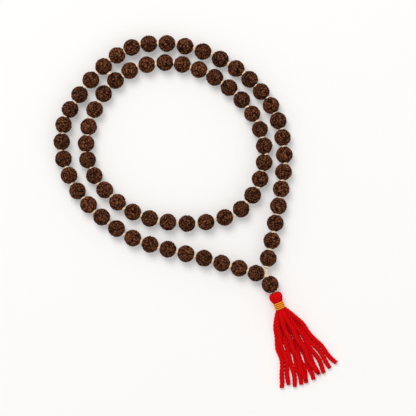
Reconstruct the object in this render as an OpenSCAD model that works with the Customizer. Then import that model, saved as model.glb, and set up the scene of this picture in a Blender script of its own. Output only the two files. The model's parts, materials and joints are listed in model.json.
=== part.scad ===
// Knotted mala (prayer beads) laid out as two closed rings on a table, with a guru bead and a tassel.
// Millimetres, +Z up, z = 0 is the table, and the origin is under the middle of the beads.

/* [Beads] */
// Diameter of a seed bead
bead_d = 8.1; // [7.8:0.05:8.1]
// Diameter of the guru bead
guru_d = 8.4; // [8:0.1:8.6]

/* [Cord] */
// Diameter of the stringing cord
cord_d = 1.35; // [1:0.05:1.4]
// Play between the cord and a bead's hole, on the radius
bore_play = 0.08; // [0.02:0.01:0.1]
// Diameter of a knot between two beads
knot_d = 1.8; // [1.5:0.1:1.8]
// Gap left where a cord leaves a knot that it turns on
turn_gap = 0.12; // [0.05:0.01:0.2]

/* [Tassel] */
// Diameter of the tassel's head
head_d = 6.6; // [5:0.1:6.8]
// Outer diameter of the thread wrap
wrap_d = 4.8; // [4:0.1:5]
// Length of the thread wrap
wrap_len = 3.4; // [3:0.1:4]
// Diameter of one loose yarn
yarn_d = 1.9; // [1.5:0.1:1.9]
// Diameter of a yarn where the wrap squeezes it
yarn_neck_d = 0.96; // [0.8:0.02:0.98]

/* [Hidden] */
$fn = 48;
bead_r = bead_d / 2;
guru_r = guru_d / 2;
cord_r = cord_d / 2;
bore_r = cord_r + bore_play;
knot_r = knot_d / 2;
bead_z = bead_r;
seed_brown = [0.30, 0.15, 0.09];
cotton_cream = [0.91, 0.83, 0.66];
yarn_red = [0.78, 0.05, 0.06];
thread_gold = [0.89, 0.62, 0.12];

// Where the first bead of each pair lies, anticlockwise round the outer ring from the guru bead
outer_route = [
  [47.5, -42.5], [51, -25], [54, -8], [55.5, 9], [52.5, 26], [44, 40.5], [31.5, 52], [15, 60.5],
  [-3, 64.5], [-20.5, 62.5], [-34.5, 53], [-46.5, 39], [-54.5, 24], [-54.5, 7], [-47.5, -9],
  [-35.5, -22], [-20, -32.5], [-2.5, -38], [15.5, -42.5], [33, -47.5]
];
// The outer ring's last bead
outer_last = [41.5, -50];
// The same for the closed inner ring, anticlockwise from the top
inner_route = [
  [13, 51.5], [-4, 55], [-21.5, 51], [-34.5, 39.5], [-42, 23], [-42.5, 6.5], [-34, -8.5],
  [-20, -19.5], [-2.5, -24.5], [16.5, -24.5], [34, -18], [43.5, -3], [45.5, 13.5], [39.5, 29.5],
  [28, 42.5]
];

// A smooth curve through route points: p1 to p2, with the points on either side of them
function curve_point(p0, p1, p2, p3, t) =
  0.5 * (2 * p1 + (p2 - p0) * t + (2 * p0 - 5 * p1 + 4 * p2 - p3) * t * t
         + (3 * p1 - p0 - 3 * p2 + p3) * t * t * t);
// The second bead of a pair: halfway along the curve from its first bead to the next pair's
function halfway(p0, p1, p2, p3) = curve_point(p0, p1, p2, p3, 0.5);
outer_pairs = len(outer_route);
inner_pairs = len(inner_route);
outer_ends = concat(
  [2 * outer_route[0] - outer_route[1]], outer_route, [2 * outer_last - outer_route[outer_pairs - 1]]
);
outer_beads = [
  for (k = [1 : outer_pairs])
    each [outer_ends[k], k == outer_pairs ? outer_last
          : halfway(outer_ends[k - 1], outer_ends[k], outer_ends[k + 1], outer_ends[k + 2])]
];
inner_beads = [
  for (k = [0 : inner_pairs - 1])
    each [inner_route[k],
          halfway(closed(inner_route, k - 1), inner_route[k],
                  closed(inner_route, k + 1), closed(inner_route, k + 2))]
];

function level(p, z = bead_z) = [p[0], p[1], z];
function unit(v) = v / norm(v);
function heading(v) = [0, acos(v[2] / norm(v)), atan2(v[1], v[0])];
function turned(deg) = [cos(deg), sin(deg), 0];
function closed(list, i) = list[(i + len(list)) % len(list)];

// The hanging end: the joining knot, the guru bead on its own line, and the tassel on another
guru_dir = turned(-66);
tassel_turn = -67;
tassel_dir = turned(tassel_turn);
guru_at = [48.5, -55.6, guru_r];
// Distances along the guru bead's line from its middle to the knots on either side of it
join_reach = 4.6;
tassel_reach = guru_r + 0.15;
join_at = guru_at - join_reach * guru_dir;
tassel_at = guru_at + tassel_reach * guru_dir;
join_r = 1;
tassel_knot_r = 0.7;
// Distances along the tassel from its knot: the start of the head, the head's and the loop's lengths
head_gap = 0.4;
head_len = 5.1;
loop_len = 3.6;
loop_start = tassel_knot_r + turn_gap;
wrap_end = head_gap + head_len + wrap_len;
head_r = head_d / 2;
wrap_r = wrap_d / 2;
neck_r = 1.9;
// The yarns start just beyond the wrap
skirt_at = tassel_at + (wrap_end + 0.3) * tassel_dir;
across = turned(tassel_turn + 90);

// The point of the line through pair p that is nearest to a point
function on_line(p, at) = p[0] + unit(p[1] - p[0]) * ((at - p[0]) * unit(p[1] - p[0]));
// The knot between two pairs: midway between them, moved out to where the cords through both meet
function corner(p, q) =
  let (middle = (p[1] + q[0]) / 2) level((on_line(p, middle) + on_line(q, middle)) / 2);
function outer_pair(k) = [outer_beads[2 * k], outer_beads[2 * k + 1]];
function inner_pair(k) = [closed(inner_beads, 2 * k), closed(inner_beads, 2 * k + 1)];
// The knot before pair k. The outer ring has one more by the guru bead, and ends at the joining knot.
first_knot_reach = 4.4;
function outer_knot(k) =
  k == 0 ? level(outer_beads[0] - first_knot_reach * unit(outer_beads[1] - outer_beads[0]))
  : k == outer_pairs ? join_at
  : corner(outer_pair(k - 1), outer_pair(k));
function inner_knot(k) = corner(inner_pair(k - 1), inner_pair(k));

// The tie between the rings, a thin thread. Its knot rests on top of the gap between bead 21 and inner
// bead 6. Its two halves go down through the gap and under those beads to the knots beside them.
tie_r = 0.3;
tie_knot_r = 1.1;
tie_at = level((outer_beads[20] + inner_beads[5]) / 2, bead_z + 2.6);
tie_turn = unit(cross(level(inner_beads[5] - outer_beads[20], 0), [0, 0, 1]));
tie_side = 0.4;
tie_end = bead_z - knot_r - 0.05;
outer_tie = [
  tie_at + tie_side * tie_turn, level(tie_at + tie_side * tie_turn, 1.8),
  [-33.2, 50.3, 0.6], [-35.9, 50.0, 0.6], [-37.4, 49.8, 1.2],
  level((outer_beads[20] + outer_beads[21]) / 2, tie_end)
];
inner_tie = [
  level(tie_at - tie_side * tie_turn, tie_at[2] - tie_knot_r - turn_gap),
  level(tie_at - tie_side * tie_turn, 1.8),
  [-30.0, 48.8, 0.6], [-27.9, 49.2, 0.6], [-25.6, 48.7, 1.2],
  level((inner_beads[5] + inner_beads[4]) / 2, tie_end)
];

// Folds: the first and last pair of the part that folds up
right_fold = [1, 6];
left_fold = [11, 15];
inner_fold = [8, 12];
// A cord ends this far from a knot's middle where it is tied in it
tied_in = 0.2;

// Edges of the loose skirt at equal steps away from the wrap, and where each yarn ends
left_edge = [[51.0, -74.0], [50.7, -80.5], [51.5, -87.0], [53.0, -94.0], [53.5, -101.0]];
right_edge = [[59.0, -69.5], [64.0, -74.0], [69.0, -79.5], [74.0, -85.0], [78.5, -90.0]];
yarn_ends = [
  [54, -107], [57.5, -105.5], [61, -106.5], [64, -105.5], [67, -104.5], [70, -103],
  [72.5, -100.5], [75.5, -99.5], [78.5, -97], [81.5, -94.5], [66, -102.5], [71.5, -99.5]
];
// Heights of the lower, middle and top yarns at the wrap, at each step, and at the end
low_row = [3.1, 2.0, 1.1, 1.0, 1.0, 1.0, 1.0];
middle_row = [4.2, 4.0, 2.8, 2.0, 1.4, 1.1, 1.0];
top_row = [5.3, 6.1, 4.9, 4.1, 3.4, 3.1, 3.0];
yarn_count = len(yarn_ends);
fan_count = 10;
top_fan = [3.5, 5.5];

function two_digits(i) = str(i < 10 ? "0" : "", i);
function outer_name(k) = str("outer_beads_", two_digits(k + 1));
function inner_name(k) = str("inner_beads_", two_digits(k + 1));
function yarn_name(i) = str("tassel_yarn_", two_digits(i + 1));

// Turns what is drawn along +Z to run along dir, from a point
module along(at, dir) {
  translate(at) rotate(heading(dir)) children();
}

// One seed bead on its hole's axis: a ball with a hole and a pit at each end for the knot
module bead(r) {
  pit_floor = r - 1;
  pit_mouth = r + 0.1;
  difference() {
    sphere(r);
    cylinder(h = 3 * r, r = bore_r, center = true);
    for (side = [0, 180])
      rotate([side, 0, 0])
        translate([0, 0, pit_floor])
          cylinder(h = pit_mouth - pit_floor, r1 = bore_r, r2 = 1.65);
  }
}

// Two neighbouring beads on the straight run of cord through both
module bead_pair(a, b) {
  color(seed_brown) {
    along(level(a), level(b - a, 0)) bead(bead_r);
    along(level(b), level(b - a, 0)) bead(bead_r);
  }
}

// A knot, with its poles on the cord and its seam turned away from the cord's own
module knot(at, dir, r = knot_r) {
  along(at, dir) rotate([0, 0, 45]) sphere(r);
}

// The knot before pair k of the outer ring, or of the inner ring
module outer_tied(k) {
  before = k == 0 ? outer_beads[0] - outer_beads[1] + outer_beads[0] : outer_beads[2 * k - 1];
  knot(outer_knot(k), level(outer_beads[2 * k] - before, 0));
}
module inner_tied(k) {
  knot(inner_knot(k), level(closed(inner_beads, 2 * k) - closed(inner_beads, 2 * k - 1), 0));
}

// The cord through a pair with its middle knot, stopping at set distances from the knots at its ends
module pair_cord(pair, knots, stops) {
  dir = level(unit(pair[1] - pair[0]), 0);
  from = (knots[0] - level(pair[0])) * dir + stops[0];
  to = (knots[1] - level(pair[0])) * dir - stops[1];
  along(level(pair[0]) + from * dir, dir) cylinder(h = to - from, r = cord_r);
  knot(level((pair[0] + pair[1]) / 2), dir);
}

// A run of pairs with the knots between them. Its ends stop short of the knots that they turn on, or are
// tied in them.
module run_cord(first, last, stops, outer = true) {
  for (k = [first : last])
    pair_cord(
      outer ? outer_pair(k) : inner_pair(k),
      outer ? [outer_knot(k), outer_knot(k + 1)] : [inner_knot(k), inner_knot(k + 1)],
      [k == first ? stops[0] : tied_in, k == last ? stops[1] : tied_in]
    );
  for (k = [first + 1 : 1 : last])
    if (outer) outer_tied(k);
    else inner_tied(k);
}
turning = knot_r + turn_gap;

// A chain of straight rods with round joints
module rods(points, r) {
  for (i = [0 : len(points) - 2])
    along(points[i], points[i + 1] - points[i]) cylinder(h = norm(points[i + 1] - points[i]), r = r);
  for (i = [1 : len(points) - 2])
    knot(points[i], points[i + 1] - points[i - 1], r * 1.04);
}

// The part of the outer cord that stays on the table: its ends by the guru bead, its top by the tie, and the
// knots that the two side folds turn on
module outer_cord() {
  color(cotton_cream) {
    run_cord(0, right_fold[0] - 1, [tied_in, tied_in]);
    run_cord(right_fold[1] + 1, left_fold[0] - 1, [tied_in, tied_in]);
    run_cord(left_fold[1] + 1, outer_pairs - 1, [tied_in, join_r + turn_gap]);
    for (k = [0, right_fold[0], right_fold[1] + 1, left_fold[0], left_fold[1] + 1])
      outer_tied(k);
    guru_lead();
  }
}

// The bare cord from the ring's first knot towards the joining knot
module guru_lead() {
  dir = unit(join_at - outer_knot(0));
  bare = norm(join_at - outer_knot(0)) - join_r - turn_gap - tied_in;
  along(outer_knot(0) + tied_in * dir, dir) cylinder(h = bare, r = cord_r);
}

module outer_right_cord() {
  color(cotton_cream) run_cord(right_fold[0], right_fold[1], [turning, turning]);
}

module outer_left_cord() {
  color(cotton_cream) run_cord(left_fold[0], left_fold[1], [turning, turning]);
}

// The near part of the inner cord, with the tie's other half and the knots that the inner fold turns on
module inner_cord() {
  color(cotton_cream) {
    run_cord(0, inner_fold[0] - 1, [tied_in, tied_in], false);
    run_cord(inner_fold[1] + 1, inner_pairs - 1, [tied_in, tied_in], false);
    for (k = [0, inner_fold[0], inner_fold[1] + 1])
      inner_tied(k);
    rods(inner_tie, tie_r);
  }
}

module inner_far_cord() {
  color(cotton_cream) run_cord(inner_fold[0], inner_fold[1], [turning, turning], false);
}

// The tie's knot, which the inner ring turns on, with the half of the tie that holds the outer ring
module ring_tie() {
  color(cotton_cream) {
    rods(outer_tie, tie_r);
    knot(tie_at, tie_at - outer_tie[len(outer_tie) - 2], tie_knot_r);
  }
}

module guru_knot() {
  color(cotton_cream) translate(join_at) sphere(join_r);
}

// The cord through the guru bead, between the joining knot and the tassel's knot
module guru_cord() {
  start = join_r + turn_gap;
  color(cotton_cream)
    along(join_at + start * guru_dir, guru_dir)
      cylinder(h = join_reach + tassel_reach - start - tassel_knot_r - turn_gap, r = cord_r);
}

module guru_bead() {
  color(seed_brown) along(guru_at, guru_dir) bead(guru_r);
}

// The small knot under the guru bead, which the tassel turns on
module tassel_knot() {
  color(cotton_cream) translate(tassel_at) sphere(tassel_knot_r);
}

// The cord's loop inside the tassel's head, which the tassel twists on
module tassel_loop() {
  color(cotton_cream)
    along(tassel_at + loop_start * tassel_dir, tassel_dir) cylinder(h = loop_len, r = cord_r);
}

// The yarn's folded top: a dome, a shoulder and the neck that the wrap holds, hollow for the loop
module tassel_head() {
  shoulder = head_gap + head_r;
  loop_room = 0.5;
  color(yarn_red)
    along(tassel_at, tassel_dir)
      difference() {
        union() {
          intersection() {
            translate([0, 0, shoulder]) sphere(head_r);
            cylinder(h = shoulder, r = head_d);
          }
          translate([0, 0, shoulder]) cylinder(h = head_gap + head_len - shoulder, r1 = head_r, r2 = neck_r);
          translate([0, 0, head_gap + head_len]) cylinder(h = wrap_len, r = neck_r);
        }
        cylinder(h = loop_start + loop_len + loop_room, r = bore_r);
        cylinder(h = 1, r1 = 1.5, r2 = bore_r);
      }
}

// The binding thread round the neck
module tassel_wrap() {
  color(thread_gold)
    along(tassel_at + (wrap_end - wrap_len) * tassel_dir, tassel_dir)
      difference() {
        cylinder(h = wrap_len, r = wrap_r);
        translate([0, 0, -1]) cylinder(h = wrap_len + 2, r = neck_r);
      }
}

// A closed tube through points, with a radius at each
module tube(points, radii, sides = 8) {
  n = len(points);
  rings = [
    for (i = [0 : n - 1])
      let (
        dir = unit(points[min(i + 1, n - 1)] - points[max(i - 1, 0)]),
        side = unit(cross([0, 0, 1], dir)),
        up = cross(dir, side)
      )
      for (s = [0 : sides - 1])
        let (a = 360 * (s + 0.5) / sides) points[i] + radii[i] * (cos(a) * side + sin(a) * up)
  ];
  walls = [
    for (i = [0 : n - 2]) for (s = [0 : sides - 1])
      let (t = (s + 1) % sides)
      [i * sides + s, (i + 1) * sides + s, (i + 1) * sides + t, i * sides + t]
  ];
  ends = [
    [for (s = [0 : sides - 1]) s],
    [for (s = [sides - 1 : -1 : 0]) (n - 1) * sides + s]
  ];
  polyhedron(points = rings, faces = concat(walls, ends), convexity = 4);
}

// The fan place of a yarn from 0 at the left edge to 1 at the right, and its row of heights
function fan_of(i) = i < fan_count ? (i + 0.5) / fan_count : top_fan[i - fan_count] / fan_count + 0.05;
function row_of(i) = i >= fan_count ? top_row : i % 2 == 0 ? low_row : middle_row;
function neck_of(i) =
  i >= fan_count ? (i - fan_count - 0.5) * 1.05 : (floor(i / 2) - 2) * 1.05;
function yarn_route(i) = concat(
  [level(skirt_at + neck_of(i) * across, row_of(i)[0])],
  [for (k = [0 : 4]) level(left_edge[k] + (right_edge[k] - left_edge[k]) * fan_of(i), row_of(i)[k + 1])],
  [level(yarn_ends[i], row_of(i)[6])]
);
yarn_radii = [yarn_neck_d / 2, 0.9 * yarn_d / 2, for (k = [2 : 6]) yarn_d / 2];

module tassel_yarn(i) {
  color(yarn_red) tube(yarn_route(i), yarn_radii);
}

for (k = [0 : outer_pairs - 1])
  bead_pair(outer_pair(k)[0], outer_pair(k)[1]);
for (k = [0 : inner_pairs - 1])
  bead_pair(inner_pair(k)[0], inner_pair(k)[1]);
outer_cord();
outer_right_cord();
outer_left_cord();
inner_cord();
inner_far_cord();
ring_tie();
guru_knot();
guru_cord();
guru_bead();
tassel_knot();
tassel_loop();
tassel_head();
tassel_wrap();
for (i = [0 : yarn_count - 1])
  tassel_yarn(i);
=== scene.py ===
"""A knotted mala: two rings of wrinkled seed beads on cream cord, with a guru bead and a red yarn tassel.

Shapes are worked out in millimetres and turned into metres as each mesh is made.
"""

import json
import math
import random

import bpy
import numpy as np
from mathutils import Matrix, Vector, noise

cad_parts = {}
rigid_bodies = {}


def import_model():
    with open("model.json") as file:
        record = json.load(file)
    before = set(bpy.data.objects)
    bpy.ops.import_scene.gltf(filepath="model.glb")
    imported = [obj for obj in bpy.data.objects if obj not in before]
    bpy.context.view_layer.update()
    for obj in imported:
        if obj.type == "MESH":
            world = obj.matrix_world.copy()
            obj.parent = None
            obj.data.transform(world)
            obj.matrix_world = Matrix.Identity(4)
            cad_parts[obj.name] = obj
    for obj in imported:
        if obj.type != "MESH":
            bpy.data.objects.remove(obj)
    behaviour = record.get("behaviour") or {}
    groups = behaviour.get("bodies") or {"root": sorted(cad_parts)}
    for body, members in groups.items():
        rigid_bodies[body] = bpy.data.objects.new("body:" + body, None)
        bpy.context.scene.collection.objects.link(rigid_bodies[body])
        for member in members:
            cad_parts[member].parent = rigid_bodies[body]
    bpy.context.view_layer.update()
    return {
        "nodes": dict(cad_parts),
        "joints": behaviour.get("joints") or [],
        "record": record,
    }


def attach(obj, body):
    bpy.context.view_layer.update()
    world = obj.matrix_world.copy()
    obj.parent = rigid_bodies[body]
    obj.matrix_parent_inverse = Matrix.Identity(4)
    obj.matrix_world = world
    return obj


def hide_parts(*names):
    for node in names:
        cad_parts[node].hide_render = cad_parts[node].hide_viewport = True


MM = 0.001
TURN = 2 * math.pi

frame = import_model()
nodes = frame["nodes"]
joints = {joint["name"]: joint for joint in frame["joints"]}
body_of_node = {
    node: body
    for body, members in frame["record"]["behaviour"]["bodies"].items()
    for node in members
}


# ---------------------------------------------------------------- camera, light and floor
VIEW_WIDTH = 0.208
VIEW_MIDDLE = Vector((0.0175, -0.0175, 0.0))
CAMERA_HEIGHT = 1.3
SENSOR_WIDTH = 36.0


def add_camera():
    """Looks straight down, from far enough away that the beads' sides stay hidden."""
    data = bpy.data.cameras.new("camera")
    data.sensor_width = SENSOR_WIDTH
    data.lens = SENSOR_WIDTH * CAMERA_HEIGHT / VIEW_WIDTH
    data.clip_start = 0.01
    data.clip_end = 20
    camera = bpy.data.objects.new("camera", data)
    camera.location = VIEW_MIDDLE + Vector((0, 0, CAMERA_HEIGHT))
    bpy.context.scene.collection.objects.link(camera)
    bpy.context.scene.camera = camera


def add_area_light(name, place, size, power, tint=(1, 1, 1)):
    data = bpy.data.lights.new(name, "AREA")
    data.shape = "DISK"
    data.size = size
    data.energy = power
    data.color = tint
    light = bpy.data.objects.new(name, data)
    light.location = place
    light.rotation_euler = (Vector((0, 0, 0)) - Vector(place)).to_track_quat("-Z", "Y").to_euler()
    bpy.context.scene.collection.objects.link(light)


def add_lights():
    """Even soft studio light, a little stronger from the upper left."""
    add_area_light("key_light", (-0.45, 0.95, 1.7), 1.2, 27.0, (1, 0.985, 0.965))
    add_area_light("fill_light", (1.4, -1.0, 1.8), 1.8, 8.0)
    world = bpy.data.worlds.new("studio")
    world.use_nodes = True
    background = world.node_tree.nodes["Background"]
    background.inputs["Color"].default_value = (1, 1, 1, 1)
    background.inputs["Strength"].default_value = 0.48
    bpy.context.scene.world = world
    bpy.context.scene.view_settings.view_transform = "Standard"


# The seeds' ridges reach this far below the frame's floor
FLOOR_DROP = 0.00035


def add_floor(material):
    half = 1.5
    mesh = bpy.data.meshes.new("floor")
    mesh.from_pydata(
        [(-half, -half, 0), (half, -half, 0), (half, half, 0), (-half, half, 0)], [], [(0, 1, 2, 3)]
    )
    floor = bpy.data.objects.new("floor", mesh)
    floor.location.z = -FLOOR_DROP
    mesh.materials.append(material)
    bpy.context.scene.collection.objects.link(floor)


# ---------------------------------------------------------------- materials
class Shader:
    """A Principled material and short ways to add and join its nodes."""

    def __init__(self, name):
        self.material = bpy.data.materials.new(name)
        self.material.use_nodes = True
        self.tree = self.material.node_tree
        self.principled = self.tree.nodes["Principled BSDF"]

    def set(self, **values):
        for socket, value in values.items():
            self.principled.inputs[socket.replace("_", " ")].default_value = value
        return self

    def add(self, kind, **settings):
        node = self.tree.nodes.new(kind)
        for setting, value in settings.items():
            setattr(node, setting, value)
        return node

    def join(self, source, target):
        self.tree.links.new(source, target)

    def attribute(self, name):
        return self.add("ShaderNodeAttribute", attribute_name=name)

    def noise(self, scale, detail=2.0, vector=None, roughness=0.5):
        node = self.add("ShaderNodeTexNoise")
        node.inputs["Scale"].default_value = scale
        node.inputs["Detail"].default_value = detail
        node.inputs["Roughness"].default_value = roughness
        if vector is None:
            vector = self.add("ShaderNodeTexCoord").outputs["Object"]
        self.join(vector, node.inputs["Vector"])
        return node.outputs["Fac"]

    def ramp(self, source, stops):
        node = self.add("ShaderNodeValToRGB")
        elements = node.color_ramp.elements
        while len(elements) < len(stops):
            elements.new(0.5)
        for element, (position, colour) in zip(elements, stops):
            element.position = position
            element.color = (*colour, 1)
        self.join(source, node.inputs["Fac"])
        return node.outputs["Color"]

    def mix(self, factor, first, second, blend="MIX"):
        """Each of the three is a socket or a plain value."""
        node = self.add("ShaderNodeMix", data_type="RGBA", blend_type=blend)
        for socket, value in ((0, factor), (6, first), (7, second)):
            if isinstance(value, bpy.types.NodeSocket):
                self.join(value, node.inputs[socket])
            elif socket:
                node.inputs[socket].default_value = (*value, 1)
            else:
                node.inputs[socket].default_value = value
        return node.outputs[2]

    def maths(self, operation, first, second):
        node = self.add("ShaderNodeMath", operation=operation)
        for index, value in enumerate((first, second)):
            if isinstance(value, bpy.types.NodeSocket):
                self.join(value, node.inputs[index])
            else:
                node.inputs[index].default_value = value
        return node.outputs[0]

    def bump(self, height, strength, distance):
        node = self.add("ShaderNodeBump")
        node.inputs["Strength"].default_value = strength
        node.inputs["Distance"].default_value = distance
        self.join(height, node.inputs["Height"])
        self.join(node.outputs["Normal"], self.principled.inputs["Normal"])

    def colour(self, source):
        self.join(source, self.principled.inputs["Base Color"])

    def roughness(self, source):
        self.join(source, self.principled.inputs["Roughness"])


def paper_material():
    shader = Shader("pale_paper")
    shader.set(Base_Color=(0.655, 0.646, 0.640, 1), Roughness=0.9)
    # A little light of its own, as from a light table, keeps the shadows soft and pale
    shader.set(Emission_Color=(1, 0.99, 0.978, 1), Emission_Strength=0.272)
    return shader.material


def seed_material():
    """Dark clefts and reddish ridge tops, from each seed's own relief, the dark partly the seed's own
    colour and partly painted shade, with a tint that differs by seed.
    """
    shader = Shader("seed")
    relief = shader.attribute("relief").outputs["Fac"]
    tint = shader.attribute("tint").outputs["Fac"]
    fine = shader.noise(2600, 4, roughness=0.65)
    patches = shader.noise(420, 2)
    # Fine grain plus the relief, and the relief paints shade into the grooves through the ramp below
    shade_and_grain = shader.maths("MULTIPLY_ADD", fine, 0.16)
    shader.join(relief, shade_and_grain.node.inputs[2])
    shade_and_grain = shader.maths("SUBTRACT", shade_and_grain, 0.08)
    # Low relief takes near black: the seed's own darker grooves with painted shade laid over them
    browns = shader.ramp(
        shade_and_grain,
        [
            (0.0, (0.0045, 0.0014, 0.0008)),
            (0.34, (0.0130, 0.0038, 0.0016)),
            (0.58, (0.056, 0.0172, 0.0068)),
            (0.80, (0.135, 0.0445, 0.0172)),
            (1.0, (0.245, 0.0880, 0.0360)),
        ],
    )
    dusky = shader.mix(patches, (0.78, 0.79, 0.82), (1.16, 1.08, 1.00))
    browns = shader.mix(1.0, browns, dusky, "MULTIPLY")
    light = shader.mix(tint, (0.80, 0.78, 0.76), (1.20, 1.15, 1.08))
    shader.colour(shader.mix(1.0, browns, light, "MULTIPLY"))
    shader.roughness(shader.ramp(relief, [(0.2, (0.9,) * 3), (0.9, (0.52,) * 3)]))
    shader.set(Specular_IOR_Level=0.08)
    shader.bump(fine, 0.5, 0.00010)
    return shader.material


def fibre_material(name, shade, light, deep, groove_shade, roughness, sheen, gloss, bump):
    """Spun fibre, from the two attributes that Strands.tube gives its mesh.

    lay stretches the noise along the strand into hairs. proud is 1 on top of the strand and 0 down in the
    grooves beside it, which take the groove_shade colour as painted shade.
    """
    shader = Shader(name)
    lay = shader.attribute("lay").outputs["Vector"]
    hairs = shader.noise(1.0, 3, lay, 0.6)
    patches = shader.noise(260, 2)
    body = shader.ramp(hairs, [(0.30, deep), (0.52, shade), (0.75, light)])
    drift = shader.mix(patches, (0.90, 0.89, 0.88), (1.08, 1.07, 1.06))
    body = shader.mix(1.0, body, drift, "MULTIPLY")
    proud = shader.attribute("proud").outputs["Fac"]
    # Painted shade in the grooves between plies and strands
    groove_shading = shader.ramp(proud, [(0.0, groove_shade), (0.45, (0.85,) * 3), (0.75, (1.0,) * 3)])
    shader.colour(shader.mix(1.0, body, groove_shading, "MULTIPLY"))
    shader.set(Roughness=roughness, Sheen_Weight=sheen, Sheen_Roughness=0.5)
    shader.set(Sheen_Tint=(*light, 1), Specular_IOR_Level=gloss)
    shader.bump(hairs, bump, 0.00012)
    return shader.material


paper = paper_material()
seed_finish = seed_material()
cotton_finish = fibre_material(
    "cotton", shade=(1.0, 0.83, 0.63), light=(1.0, 0.92, 0.77), deep=(0.98, 0.72, 0.49),
    groove_shade=(0.70, 0.47, 0.31), roughness=0.9, sheen=0.3, gloss=0.1, bump=0.5,
)
yarn_finish = fibre_material(
    "red_yarn", shade=(0.66, 0.002, 0.004), light=(0.80, 0.006, 0.007), deep=(0.46, 0.001, 0.002),
    groove_shade=(0.14, 0.10, 0.12), roughness=0.9, sheen=0.03, gloss=0.05, bump=0.7,
)
gold_finish = fibre_material(
    "gold_thread", shade=(1.0, 0.36, 0.012), light=(1.0, 0.46, 0.03), deep=(0.92, 0.26, 0.008),
    groove_shade=(0.36, 0.035, 0.02), roughness=0.6, sheen=0.0, gloss=0.15, bump=0.5,
)


# ---------------------------------------------------------------- mesh making
def unit(vector):
    vector = np.asarray(vector, float)
    return vector / np.linalg.norm(vector)


def across(direction):
    """Two unit directions square to one another and to the given one."""
    direction = unit(direction)
    helper = np.array([0.0, 0.0, 1.0]) if abs(direction[2]) < 0.9 else np.array([1.0, 0.0, 0.0])
    side = unit(np.cross(helper, direction))
    return side, np.cross(direction, side)


def unit_rows(vectors):
    return vectors / np.linalg.norm(vectors, axis=1)[:, None]


def carried_frames(path):
    """The direction, and two steady directions across it, at each point of an open path."""
    ahead = unit_rows(np.gradient(path, axis=0))
    sides = np.empty_like(path)
    sides[0] = across(ahead[0])[0]
    for i in range(1, len(path)):
        level = sides[i - 1] - ahead[i] * np.dot(sides[i - 1], ahead[i])
        sides[i] = level / np.linalg.norm(level)
    return ahead, sides, np.cross(ahead, sides)


def facing_frames(path, outward, closed=False):
    """Two directions across a path at each of its points, the first as near to outward as it can be."""
    if closed:
        ahead = unit_rows(np.roll(path, -1, axis=0) - np.roll(path, 1, axis=0))
    else:
        ahead = unit_rows(np.gradient(path, axis=0))
    first = unit_rows(outward - ahead * np.sum(outward * ahead, axis=1)[:, None])
    return first, np.cross(ahead, first)


def facing_out(sides):
    """For each side of a tube, 1 where it faces its frame's first direction and 0 on its far side."""
    return 0.5 + 0.5 * np.cos(TURN * np.arange(sides) / sides)


def run_of(path):
    """The distance along a path at each of its points."""
    steps = np.linalg.norm(np.diff(path, axis=0), axis=1)
    return np.concatenate([[0.0], np.cumsum(steps)])


def smooth_path(points, step):
    """A smooth curve through the points, with a point about every step."""
    points = np.asarray(points, float)
    padded = np.vstack([2 * points[0] - points[1], points, 2 * points[-1] - points[-2]])
    out = []
    for i in range(1, len(padded) - 2):
        before, start, end, after = padded[i - 1 : i + 3]
        count = max(2, int(np.linalg.norm(end - start) / step))
        t = np.arange(count)[:, None] / count
        out.append(
            0.5
            * (
                2 * start
                + (end - before) * t
                + (2 * before - 5 * start + 4 * end - after) * t**2
                + (3 * start - before - 3 * end + after) * t**3
            )
        )
    out.append(points[-1:])
    return np.vstack(out)


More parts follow.
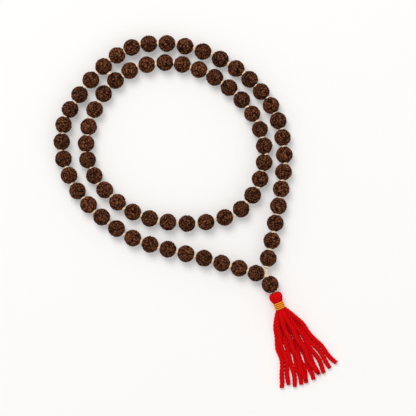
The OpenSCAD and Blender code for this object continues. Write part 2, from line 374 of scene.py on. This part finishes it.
class Strands:
    """Gathers tubes into one mesh, each with a lay of (along, across, round) for its fibres."""

    def __init__(self):
        self.points = []
        self.faces = []
        self.lays = []
        self.prouds = []

    def tube(
        self, path, radii, sides, lobes=0, depth=0.0, twist=0.0, frames=None, closed=False, lay_off=0.0,
        proud=None,
    ):
        """A tube along path.

        A tube with lobes is a twisted bundle, and twist is its turns for each millimetre. proud is 1 where
        the surface stands out and 0 in its grooves, and follows the lobes where it isn't given. The fibre
        materials paint shade where proud is low.
        """
        path = np.asarray(path, float)
        count = len(path)
        radii = np.broadcast_to(np.asarray(radii, float), (count,))
        first, second = frames if frames is not None else carried_frames(path)[1:]
        along = run_of(path)
        angles = TURN * np.arange(sides) / sides
        turned = angles[None, :] - TURN * twist * along[:, None]
        reach = radii[:, None] * (1 + depth * np.cos(lobes * turned))
        ring = (
            path[:, None, :]
            + (reach * np.cos(angles))[:, :, None] * first[:, None, :]
            + (reach * np.sin(angles))[:, :, None] * second[:, None, :]
        )
        start = sum(len(p) for p in self.points)
        self.points.append(ring.reshape(-1, 3))
        # Fibres are long, so the lay runs slowly along the twisted strand and fast round it
        lay = np.empty((count, sides, 3))
        lay[:, :, 0] = along[:, None] * 0.9 + lay_off
        lay[:, :, 1] = np.cos(turned) * 3.2
        lay[:, :, 2] = np.sin(turned) * 3.2
        self.lays.append(lay.reshape(-1, 3))
        # Where proud is low the fibre materials paint shade, by default in the grooves between the lobes
        if proud is None:
            proud = 0.5 + 0.5 * np.cos(lobes * turned)
        self.prouds.append(np.broadcast_to(proud, (count, sides)).ravel())
        for i in range(count if closed else count - 1):
            near = start + i * sides
            far = start + (i + 1) % count * sides
            for s in range(sides):
                t = (s + 1) % sides
                self.faces.append((near + s, near + t, far + t, far + s))
        if not closed:
            self.cap(start, sides, path[0], path[0] - path[1], radii[0], True)
            self.cap(start + (count - 1) * sides, sides, path[-1], path[-1] - path[-2], radii[-1], False)

    def cap(self, ring, sides, middle, outward, radius, first):
        """Closes an end with a low dome."""
        start = sum(len(p) for p in self.points)
        tip = middle + unit(outward) * radius * 0.45
        self.points.append(tip[None, :])
        self.lays.append(np.zeros((1, 3)))
        self.prouds.append(np.ones(1))
        for s in range(sides):
            t = (s + 1) % sides
            corners = (ring + t, ring + s, start) if first else (ring + s, ring + t, start)
            self.faces.append(corners)

    def piece(self, name, material, slot, body, *replaced):
        points = np.vstack(self.points) * MM
        mesh = bpy.data.meshes.new(name)
        mesh.from_pydata(points.tolist(), [], self.faces)
        mesh.polygons.foreach_set("use_smooth", [True] * len(mesh.polygons))
        lay = mesh.attributes.new("lay", "FLOAT_VECTOR", "POINT")
        lay.data.foreach_set("vector", np.vstack(self.lays).ravel())
        proud = mesh.attributes.new("proud", "FLOAT", "POINT")
        proud.data.foreach_set("value", np.concatenate(self.prouds))
        return placed(name, mesh, material, slot, body, *replaced)


def placed(name, mesh, material, slot, body, *replaced):
    mesh.materials.append(material)
    mesh.update()
    piece = bpy.data.objects.new(name, mesh)
    bpy.context.scene.collection.objects.link(piece)
    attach(piece, body)
    if replaced:
        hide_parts(*replaced)
    return piece


# ---------------------------------------------------------------- where things are
def node_points(node):
    return np.array([vertex.co for vertex in nodes[node].data.vertices]) / MM


def joint_line(name):
    """A joint's point in millimetres and its direction."""
    joint = joints[name]
    return np.array(joint["pos_m"]) / MM, unit(joint["axis"])


def pair_centres(ring, number):
    """The middles of the two beads of a pair, in order along its line."""
    middle, direction = joint_line(f"{ring}_spin_{number:02d}")
    reach = (node_points(f"{ring}_beads_{number:02d}") - middle) @ direction
    ahead = reach[reach > 0]
    half = (ahead.min() + ahead.max()) / 2
    return middle - half * direction, middle + half * direction


class Pair:
    """Two beads on one straight run of cord."""

    def __init__(self, ring, number):
        self.node = f"{ring}_beads_{number:02d}"
        self.middle, self.direction = joint_line(f"{ring}_spin_{number:02d}")
        self.cord_body = joints[f"{ring}_spin_{number:02d}"]["parent"]
        self.centres = pair_centres(ring, number)

    def nearest(self, point):
        return self.middle + self.direction * np.dot(point - self.middle, self.direction)


def corner(before, after):
    """The knot between two pairs, where the cords through both meet."""
    middle = (before.centres[1] + after.centres[0]) / 2
    return (before.nearest(middle) + after.nearest(middle)) / 2


def pairs_of(ring):
    count = sum(node.startswith(f"{ring}_beads_") for node in nodes)
    return [Pair(ring, number) for number in range(1, count + 1)]


outer_pairs = pairs_of("outer")
inner_pairs = pairs_of("inner")
join_at, _ = joint_line("guru_swing")
guru_at, guru_line = joint_line("guru_spin")
tassel_at, tassel_line = joint_line("tassel_twist")
tie_at, _ = joint_line("inner_ring_lift")
FIRST_KNOT_REACH = 4.4
first_knot = outer_pairs[0].centres[0] - FIRST_KNOT_REACH * outer_pairs[0].direction
outer_knots = [first_knot] + [corner(a, b) for a, b in zip(outer_pairs, outer_pairs[1:])] + [join_at]
inner_knots = [corner(inner_pairs[k - 1], inner_pairs[k]) for k in range(len(inner_pairs))]
inner_knots.append(inner_knots[0])

add_camera()
add_lights()
add_floor(paper)


# ---------------------------------------------------------------- the tassel's loose yarns
# These repeat the routes of the model's loose yarns: the edges of the skirt at equal steps away from the
# wrap, where each yarn ends, and the rows' heights
LEFT_EDGE = [(51.0, -74.0), (50.7, -80.5), (51.5, -87.0), (53.0, -94.0), (53.5, -101.0)]
RIGHT_EDGE = [(59.0, -69.5), (64.0, -74.0), (69.0, -79.5), (74.0, -85.0), (78.5, -90.0)]
YARN_ENDS = [
    (54, -107), (57.5, -105.5), (61, -106.5), (64, -105.5), (67, -104.5), (70, -103),
    (72.5, -100.5), (75.5, -99.5), (78.5, -97), (81.5, -94.5), (66, -102.5), (71.5, -99.5),
]
LOW_ROW = [3.1, 2.0, 1.1, 1.0, 1.0, 1.0, 1.0]
MIDDLE_ROW = [4.2, 4.0, 2.8, 2.0, 1.4, 1.1, 1.0]
TOP_ROW = [5.3, 6.1, 4.9, 4.1, 3.4, 3.1, 3.0]
FAN_COUNT = 10
TOP_FAN = [3.5, 5.5]
NECK_SPACING = 1.05
NECK_GAP = 0.3
PLIES = 4
PLY_OFFSET = 0.54
PLY_RADIUS = 0.72
PLY_PITCH = 7.6
PLY_SIDES = 18
wrap_end = ((node_points("tassel_wrap") - tassel_at) @ tassel_line).max()
wrap_start = ((node_points("tassel_wrap") - tassel_at) @ tassel_line).min()
skirt_at = tassel_at + (wrap_end + NECK_GAP) * tassel_line
skirt_across = np.array([-tassel_line[1], tassel_line[0], 0])


def yarn_route(i):
    """The points of one loose yarn, in millimetres."""
    if i < FAN_COUNT:
        row = MIDDLE_ROW if i % 2 else LOW_ROW
        neck = (i // 2 - 2) * NECK_SPACING
        fan = (i + 0.5) / FAN_COUNT
    else:
        row = TOP_ROW
        neck = (i - FAN_COUNT - 0.5) * NECK_SPACING
        fan = TOP_FAN[i - FAN_COUNT] / FAN_COUNT + 0.05
    start = skirt_at + neck * skirt_across
    route = [(start[0], start[1], row[0])]
    for step, (left, right) in enumerate(zip(LEFT_EDGE, RIGHT_EDGE)):
        x, y = (np.array(left) * (1 - fan) + np.array(right) * fan)
        route.append((x, y, row[step + 1]))
    route.append((*YARN_ENDS[i], row[6]))
    return np.array(route, float)


def fray(strands, rng, end, direction, count, reach):
    """Short loose fibres that splay from a cut end."""
    side, up = across(direction)
    for _ in range(count):
        angle = rng.random() * TURN
        out = math.cos(angle) * side + math.sin(angle) * up
        root = end - direction * 0.5 + out * rng.uniform(0.1, 0.95)
        lean = unit(direction + out * rng.uniform(0.0, 0.4))
        length = rng.uniform(0.4, 1.0) * reach
        bend = np.array([rng.uniform(-1, 1), rng.uniform(-1, 1), 0]) * 0.25
        points = [root, root + lean * length * 0.5 + bend * 0.3, root + lean * length + bend]
        points = [np.array([p[0], p[1], max(p[2], 0.12)]) for p in points]
        strands.tube(np.array(points), [0.12, 0.10, 0.05], 4)


def loose_yarn(i):
    """Soft plies twisted round each other, with a slight wave and a frayed end."""
    rng = random.Random(400 + i)
    name = f"tassel_yarn_{i + 1:02d}"
    path = smooth_path(yarn_route(i), 0.42)
    along = run_of(path)
    total = along[-1]
    ahead = carried_frames(path)[0]
    level = unit_rows(np.cross(np.array([0, 0, 1.0]), ahead))
    wave = 0.35 * np.sin(TURN * along / rng.uniform(11, 17) + rng.random() * TURN)
    wave *= np.clip((along - 4) / 8, 0, 1)
    path = path + wave[:, None] * level
    ahead, side, up = carried_frames(path)
    fullness = np.interp(along, [0, 3, 8, total - 2.5, total], [0.55, 0.82, 1.0, 1.0, 0.92])
    strands = Strands()
    for ply in range(PLIES):
        angle = TURN * (along / PLY_PITCH + ply / PLIES)[:, None]
        ply_path = path + PLY_OFFSET * fullness[:, None] * (np.cos(angle) * side + np.sin(angle) * up)
        ply_path[:, 2] = np.maximum(ply_path[:, 2], PLY_RADIUS * fullness)
        plumpness = PLY_RADIUS * fullness * (1 + 0.04 * np.sin(along * 1.7 + ply * 2 + i))
        outward = (ply_path - path) / (PLY_OFFSET * fullness[:, None])
        frames = (outward, np.cross(ahead, outward))
        # Each ply's side towards the others takes painted shade
        strands.tube(
            ply_path, plumpness, PLY_SIDES, lobes=6, depth=0.035, twist=0.25, frames=frames,
            lay_off=37.0 * i + 11.0 * ply, proud=facing_out(PLY_SIDES),
        )
    fray(strands, rng, path[-1], unit(path[-1] - path[-4]), count=44, reach=1.15)
    piece = strands.piece(f"{name}_plies", yarn_finish, "yarn", "tassel", name)


for yarn in range(len(YARN_ENDS)):
    loose_yarn(yarn)


# ---------------------------------------------------------------- the tassel's head and wrap
HEAD_STRANDS = 21
HEAD_STRAND_SIDES = 12
HEAD_STRAND_SINK = 0.45
HEAD_STEP = 0.25
# (radius, distance along the tassel) of the head's outline, from the cord's hole to past the wrap
HEAD_PROFILE = [
    (0.95, 1.25), (1.45, 0.85), (2.1, 0.6), (2.85, 1.05), (3.3, 2.05), (3.25, 3.2), (2.8, 4.4),
    (2.35, 5.4), (2.05, 6.2), (2.0, 8.6), (2.1, 9.7),
]
WRAP_TURNS = 4
WRAP_RADIUS = 2.6
WRAP_THREAD_RADIUS = 0.37
WRAP_THREAD_SIDES = 20
WRAP_TAIL = 0.15
WRAP_STEP = 0.18


def tassel_head():
    """Yarn folded over the cord's loop: strands side by side, with painted shade down their sides, over a
    core coloured all as painted shade.
    """
    strands = Strands()
    side, up = across(tassel_line)
    outline = smooth_path(HEAD_PROFILE, HEAD_STEP)
    core = tassel_at + outline[:, 1:2] * tassel_line
    steady = (np.tile(side, (len(core), 1)), np.tile(up, (len(core), 1)))
    # The core shows only in the gaps between strands, and takes painted shade all over
    strands.tube(core, outline[:, 0] - HEAD_STRAND_SINK, 32, frames=steady, proud=0.0)
    rng = random.Random(77)
    for k in range(HEAD_STRANDS):
        angle = TURN * (k + rng.uniform(-0.2, 0.2)) / HEAD_STRANDS
        swirl = 0.14 * np.sin(np.linspace(0, math.pi, len(outline))) * rng.uniform(0.4, 1.5)
        spoke = np.cos(angle + swirl)[:, None] * side + np.sin(angle + swirl)[:, None] * up
        sink = HEAD_STRAND_SINK + rng.uniform(-0.06, 0.12)
        path = core + (outline[:, 0:1] - sink) * spoke
        width = np.interp(outline[:, 0], [0.9, 3.3], [0.32, 0.54])
        # Painted shade darkens each strand's sides
        strands.tube(
            path, width, HEAD_STRAND_SIDES, twist=0.34, frames=facing_frames(path, spoke),
            lay_off=9.0 * k, proud=facing_out(HEAD_STRAND_SIDES) ** 2,
        )
    strands.piece("tassel_head_yarns", yarn_finish, "yarn", "tassel", "tassel_head")


def tassel_wrap():
    """One gold thread wound round the neck, over a sleeve coloured as painted shade."""
    side, up = across(tassel_line)
    span = wrap_end - wrap_start - 2 * WRAP_THREAD_RADIUS
    t = np.linspace(-WRAP_TAIL, WRAP_TURNS + 0.1, 52 * WRAP_TURNS)
    # The thread's start is tucked in, and the first and last turns are a little tighter
    reach = WRAP_RADIUS - WRAP_THREAD_RADIUS - 0.35 * np.clip(-t / WRAP_TAIL, 0, 1)
    reach -= 0.12 * np.abs(2 * t / WRAP_TURNS - 1) ** 3
    # Each turn lies nearly square to the tassel and steps to the next at its back
    turn_index = np.floor(t)
    step = np.clip((t - turn_index - (1 - WRAP_STEP)) / WRAP_STEP, 0, 1)
    shelf = np.clip((turn_index + step * step * (3 - 2 * step)) / (WRAP_TURNS - 1), 0, 1)
    at = wrap_start + WRAP_THREAD_RADIUS + span * shelf
    angle = TURN * t + math.pi * 0.1
    spoke = np.cos(angle)[:, None] * side - np.sin(angle)[:, None] * up
    path = tassel_at + at[:, None] * tassel_line + reach[:, None] * spoke
    strands = Strands()
    # Painted shade darkens each turn but its outermost part, so that each turn stands apart from the next
    outermost = np.maximum(0, np.cos(TURN * np.arange(WRAP_THREAD_SIDES) / WRAP_THREAD_SIDES) - 0.62) / 0.3
    strands.tube(
        path, WRAP_THREAD_RADIUS, WRAP_THREAD_SIDES, lobes=3, depth=0.08, twist=0.45,
        frames=facing_frames(path, spoke), proud=outermost,
    )
    # The sleeve shows only between the turns, and takes painted shade all over
    sleeve = tassel_at + np.linspace(wrap_start + 0.1, wrap_end - 0.1, 6)[:, None] * tassel_line
    strands.tube(sleeve, [2.05, 2.2, 2.25, 2.25, 2.2, 2.05], 32, proud=0.0)
    strands.piece("tassel_wrap_thread", gold_finish, "wrap_thread", "tassel", "tassel_wrap")


tassel_head()
tassel_wrap()


# ---------------------------------------------------------------- cord and knots
CORD_RADIUS = 0.66
CORD_TWIST = 0.38
CORD_SIDES = 12
KNOT_SIDES = 12
KNOT_STEPS = 66
# The rings' knots sit a little above their cords' lines
KNOT_LIFT = np.array([0, 0, 0.5])
# How far from a fold's line the cord on each side of it stops
HINGE_REACH = 0.45


def plain_cord(strands, start, end, radius=CORD_RADIUS, step=0.5, depth=0.13):
    """A straight stretch of three-ply cord."""
    count = max(3, int(np.linalg.norm(end - start) / step))
    path = start + np.linspace(0, 1, count)[:, None] * (end - start)
    strands.tube(path, radius, CORD_SIDES, lobes=3, depth=depth, twist=CORD_TWIST)


def tied_knot(strands, at, direction, rng, size=1.0):
    """A tight overhand knot: the cord goes round its own line twice and through itself."""
    direction = unit(direction)
    side, up = across(direction)
    tilt = rng.uniform(-0.2, 0.2)
    direction = unit(direction + tilt * side + rng.uniform(-0.2, 0.2) * up)
    side, up = across(direction)
    size *= rng.uniform(0.94, 1.06)
    ring = 0.68 * size
    wind = 0.27 * size
    thickness = 0.40 * size
    squash = 0.8
    t = np.linspace(0, 1, KNOT_STEPS, endpoint=False)
    theta = 2 * TURN * t + rng.random() * TURN
    phi = 3 * TURN * t
    radial = np.cos(theta)[:, None] * side + np.sin(theta)[:, None] * up
    out = (ring + wind * np.cos(phi))[:, None]
    along = (wind * squash * np.sin(phi))[:, None]
    path = at + out * radial + along * direction
    outward = np.cos(phi)[:, None] * radial + np.sin(phi)[:, None] * direction
    strands.tube(
        path, thickness, KNOT_SIDES, lobes=3, depth=0.10, twist=0.55,
        frames=facing_frames(path, outward, closed=True), closed=True, lay_off=rng.random() * 50,
    )


def ring_cords(pairs, knots, stay_body, made, rng, closed):
    """Adds each pair's cord and knots to the strands of the body that carries them."""
    for k, pair in enumerate(pairs):
        strands = made[pair.cord_body]
        before = pairs[k - 1].cord_body if k or closed else stay_body
        after = pairs[(k + 1) % len(pairs)].cord_body if k + 1 < len(pairs) or closed else stay_body
        start, end = knots[k], knots[k + 1]
        ahead = unit(end - start)
        if before != pair.cord_body:
            start = start + HINGE_REACH * ahead
        if after != pair.cord_body:
            end = end - HINGE_REACH * ahead
        plain_cord(strands, start, end)
        tied_knot(strands, pair.middle + KNOT_LIFT, pair.direction, rng)
        owner = pair.cord_body if before == pair.cord_body else stay_body
        tied_knot(made[owner], knots[k] + KNOT_LIFT, pair.direction + pairs[k - 1].direction * bool(k), rng)


# The pairs of the two rings between which the tie's knot lies
TIE_PAIRS = outer_pairs[10], inner_pairs[2]
TIE_GAP = 0.8
TIE_STEP = 0.35
TIE_RADIUS = 0.3
TIE_SIDES = 8


def tie_halves():
    """The thin thread that ties the rings, under the beads beside it, as the model has it."""
    outer_pair, inner_pair = TIE_PAIRS
    turn = unit(np.cross(inner_pair.centres[1] - outer_pair.centres[0], (0, 0, 1)))
    side = TIE_GAP / 2 * turn
    outer_mid, inner_mid = outer_pair.middle, inner_pair.middle
    outer_half = [
        tie_at + side, [*(tie_at + side)[:2], 1.8], [-33.2, 50.3, 0.6], [-35.9, 50.0, 0.6],
        [-37.4, 49.8, 1.2], [*outer_mid[:2], 3.3],
    ]
    inner_half = [
        [*(tie_at - side)[:2], 5.4], [*(tie_at - side)[:2], 1.8], [-30.0, 48.8, 0.6], [-27.9, 49.2, 0.6],
        [-25.6, 48.7, 1.2], [*inner_mid[:2], 3.3],
    ]
    return smooth_path(outer_half, TIE_STEP), smooth_path(inner_half, TIE_STEP)


def cords():
    rng = random.Random(1908)
    bodies = ("outer_ring", "outer_right", "outer_left", "inner_ring", "inner_far")
    made = {body: Strands() for body in bodies}
    ring_cords(outer_pairs, outer_knots, "outer_ring", made, rng, False)
    ring_cords(inner_pairs, inner_knots, "inner_ring", made, rng, True)
    plain_cord(made["outer_ring"], first_knot, join_at, radius=0.62, step=0.2, depth=0.26)
    for part in (0.4, 0.72):
        lump_at = first_knot + part * (join_at - first_knot)
        tied_knot(made["outer_ring"], lump_at, join_at - first_knot, rng, 0.6)
    tie = Strands()
    outer_half, inner_half = tie_halves()
    for strands, half in ((tie, outer_half), (made["inner_ring"], inner_half)):
        strands.tube(half, TIE_RADIUS, TIE_SIDES, lobes=2, depth=0.15, twist=0.8)
    outer_pair, inner_pair = TIE_PAIRS
    tied_knot(tie, tie_at, inner_pair.centres[1] - outer_pair.centres[0], rng)
    tie.piece("ring_tie_thread", cotton_finish, "cord", "outer_ring", "ring_tie")
    cord_nodes = ("outer_cord", "outer_right_cord", "outer_left_cord", "inner_cord", "inner_far_cord")
    for body, node in zip(bodies, cord_nodes):
        made[body].piece(f"{node}_twine", cotton_finish, "cord", body, node)

    join = Strands()
    tied_knot(join, join_at, guru_line, rng)
    join.piece("guru_knot_tied", cotton_finish, "cord", "guru_knot", "guru_knot")
    through = Strands()
    plain_cord(through, join_at + 0.5 * guru_line, tassel_at - 0.5 * guru_line)
    through.piece("guru_cord_twine", cotton_finish, "cord", "guru_cord", "guru_cord")
    small = Strands()
    tied_knot(small, tassel_at, guru_line, rng, 0.7)
    small.piece("tassel_knot_tied", cotton_finish, "cord", "tassel_knot", "tassel_knot")
    loop = Strands()
    plain_cord(loop, tassel_at + 0.5 * tassel_line, tassel_at + 4.4 * tassel_line)
    loop.piece("tassel_loop_twine", cotton_finish, "cord", "tassel_loop", "tassel_loop")


cords()


# ---------------------------------------------------------------- the seeds
BORE_RADIUS = 0.76
PIT_MOUTH = 1.45
ROUND_STEPS = 116
ARC_STEPS = 54
SEED_RADIUS = 4.4
GURU_RADIUS = 4.45
GURU_MOUTH = 1.75
GURU_TINT = 0.3
# The two seeds at the inner ring's fold are smaller, so that they pass each other as it folds
FOLD_SEEDS = ("inner_beads_13_seed_b", "inner_beads_14_seed_a")
SMALL_SEED_RADIUS = 4.25
RIDGE_HEIGHT = 0.55
RIDGES_PER_RADIUS = 3.9
RIDGE_STRETCH = 0.42
RIDGE_BEND = 0.8
GROOVE_FLOOR = 0.06
GROOVE_WIDTH = 0.26
# The inside of the hole takes this low relief only for its colour, so it is painted in shade
BORE_RELIEF = 0.15
CLEFTS = 5
CLEFT_WANDER = 0.13
CLEFT_WIDTH = 0.07
CLEFT_FLOOR = 0.55
RIM_WEIGHT = 0.3
RIM_FADE = 2.2
PIT_DEPTH = 1.0
PIT_STEPS = 4
BORE_STEPS = 3
# Without a seed the noise module draws its vectors' offsets from the clock
noise.seed_set(1)


def rim_weight(angle, rim):
    """The relief fades out towards the mouths of the hole, where the knots sit."""
    return min(1.0, RIM_WEIGHT + RIM_FADE * (min(angle, math.pi - angle) - rim))


def seed_outline(radius, mouth):
    """(distance along the hole, distance from it, weight of the relief) round a seed's cross-section."""
    rim = math.asin(mouth / radius)
    arc = rim + (math.pi - 2 * rim) * np.arange(ARC_STEPS + 1) / ARC_STEPS
    outside = [(radius * math.cos(a), radius * math.sin(a), rim_weight(a, rim)) for a in arc]
    floor = radius - PIT_DEPTH
    rim_height = radius * math.cos(rim)
    far_pit = []
    for k in range(1, PIT_STEPS + 1):
        t = k / PIT_STEPS
        drop = rim_height + (floor - rim_height) * t
        far_pit.append((-drop, mouth + (BORE_RADIUS - mouth) * t, RIM_WEIGHT * (1 - t)))
    bore = [(-floor + 2 * floor * k / BORE_STEPS, BORE_RADIUS, 0.0) for k in range(1, BORE_STEPS)]
    near_pit = [(-along, out, weight) for along, out, weight in reversed(far_pit)]
    return outside + far_pit + bore + near_pit


def seed_relief(direction, offset, run, clefts, polar, azimuth):
    """Height from 0 in the grooves to 1 on the ridges, at a point of the unit ball.

    The ridges are the cells of a bent grid, drawn out along run, and each cleft is a line from end to end.
    """
    warp = noise.noise_vector(direction * 1.6 + offset) * RIDGE_BEND
    spot = (direction - run * (RIDGE_STRETCH * direction.dot(run))) * RIDGES_PER_RADIUS + offset + warp
    gap = 0.5 + 0.5 * noise.noise(spot, noise_basis="VORONOI_F2F1")
    rounded = math.hypot(gap, GROOVE_FLOOR) - GROOVE_FLOOR
    knob = math.sin(TURN / 4 * min(1.0, rounded / GROOVE_WIDTH)) ** 0.9
    grain = noise.noise(direction * 12 + offset)
    height = 0.09 + 0.78 * knob + 0.2 * grain
    across_cleft = 1.0
    for place, phase in clefts:
        wander = CLEFT_WANDER * math.sin(3 * polar + phase)
        away = (azimuth - place - wander + math.pi) % TURN - math.pi
        across_cleft = min(across_cleft, abs(away) * math.sin(polar) / CLEFT_WIDTH)
    return max(0.0, min(1.0, height * (CLEFT_FLOOR + (1 - CLEFT_FLOOR) * across_cleft)))


def seed(name, node, centre, direction, radius, mouth, slot, number):
    """A rudraksha seed: a ball with a hole, wandering ridges, and a few clefts from end to end."""
    rng = random.Random(9000 + number)
    side, up = across(direction)
    offset = Vector((rng.uniform(-60, 60), rng.uniform(-60, 60), rng.uniform(-60, 60)))
    clefts = [((k + rng.uniform(-0.2, 0.2)) * TURN / CLEFTS, rng.random() * TURN) for k in range(CLEFTS)]
    outline = seed_outline(radius, mouth)
    swell = rng.uniform(-0.012, 0.0)
    run = Vector((rng.gauss(0, 1), rng.gauss(0, 1), rng.gauss(0, 1))).normalized()
    points = []
    reliefs = []
    for along, out, weight in outline:
        polar = math.atan2(out, along)
        reach = math.hypot(along, out)
        for step in range(ROUND_STEPS):
            azimuth = TURN * step / ROUND_STEPS
            ball = Vector((math.cos(azimuth) * out / reach, math.sin(azimuth) * out / reach, along / reach))
            relief = seed_relief(ball, offset, run, clefts, polar, azimuth) if weight else BORE_RELIEF
            lump = noise.noise(ball * 1.4 + offset) * 0.022 - 0.012 + swell
            drop = RIDGE_HEIGHT * (1 - relief)
            scale = 1 + weight * (min(lump, 0.0) - drop / radius)
            spot = ball * reach * scale
            points.append(centre + direction * spot.z + side * spot.x + up * spot.y)
            reliefs.append(relief)
    faces = []
    rows = len(outline)
    for row in range(rows):
        ahead = (row + 1) % rows
        for step in range(ROUND_STEPS):
            beside = (step + 1) % ROUND_STEPS
            faces.append(
                (row * ROUND_STEPS + step, ahead * ROUND_STEPS + step,
                 ahead * ROUND_STEPS + beside, row * ROUND_STEPS + beside)
            )
    mesh = bpy.data.meshes.new(name)
    mesh.from_pydata((np.array(points) * MM).tolist(), [], faces)
    mesh.polygons.foreach_set("use_smooth", [True] * len(faces))
    mesh.attributes.new("relief", "FLOAT", "POINT").data.foreach_set("value", reliefs)
    tint = rng.random() * (GURU_TINT if slot == "guru_seed" else 1.0)
    mesh.attributes.new("tint", "FLOAT", "POINT").data.foreach_set("value", [tint] * len(points))
    placed(name, mesh, seed_finish, slot, body_of_node[node], node)


def seeds():
    number = 0
    for pair in outer_pairs + inner_pairs:
        for end, centre in zip("ab", pair.centres):
            name = f"{pair.node}_seed_{end}"
            radius = SMALL_SEED_RADIUS if name in FOLD_SEEDS else SEED_RADIUS
            seed(name, pair.node, centre, pair.direction, radius, PIT_MOUTH, "seed", number)
            number += 1
    seed("guru_seed", "guru_bead", guru_at, guru_line, GURU_RADIUS, GURU_MOUTH, "guru_seed", number)


seeds()
